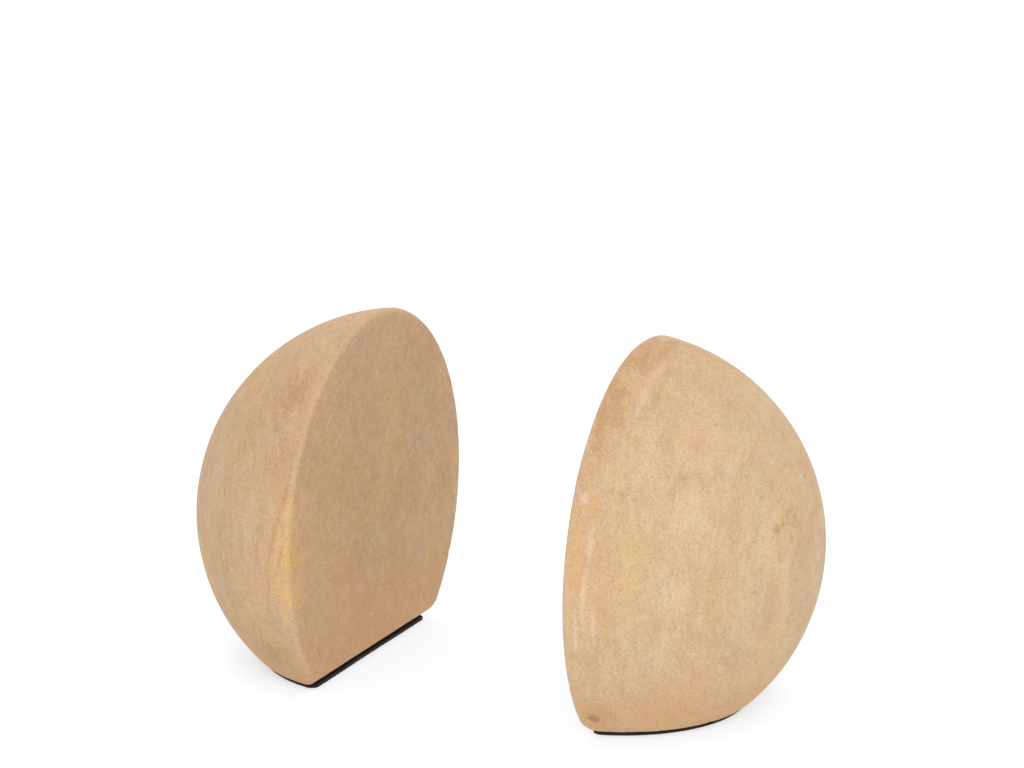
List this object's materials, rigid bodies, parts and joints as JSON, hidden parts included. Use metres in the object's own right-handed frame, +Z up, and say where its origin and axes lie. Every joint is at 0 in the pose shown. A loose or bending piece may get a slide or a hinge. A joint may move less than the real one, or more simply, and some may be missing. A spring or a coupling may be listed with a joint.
{
  "type": "book ends",
  "caption": "Sandstone book ends: each is a ball sawn flat for the book face and for the foot, with a thin black pad glued under the foot.",
  "frame": {"origin": "on the shelf, midway between the two book faces, and midway along the faces' width", "axes": "+X along the shelf towards the right book end, +Y across the faces, away from whoever looks at the front with the right half on their right, +Z up"},
  "size_m": [0.237, 0.1504, 0.1321],
  "materials": {
    "left_stone": "honed matte, warm tan, with faint slanting bedding",
    "right_stone": "honed matte, warm tan, with faint upright bedding",
    "base_pad": "matte black, fine grain",
    "pad_adhesive": "dark tacky film"
  },
  "bodies": {
    "left_bookend": {"left_stone": "left_stone", "left_base_pad": "base_pad", "left_pad_adhesive": "pad_adhesive"},
    "right_bookend": {"right_stone": "right_stone", "right_base_pad": "base_pad", "right_pad_adhesive": "pad_adhesive"}
  },
  "joints": [
    {"name": "spacing_slide", "type": "slide", "parent": "left_bookend", "child": "right_bookend", "axis": [1, 0, 0], "range_m": [-0.1015, 0.3]}
  ]
}
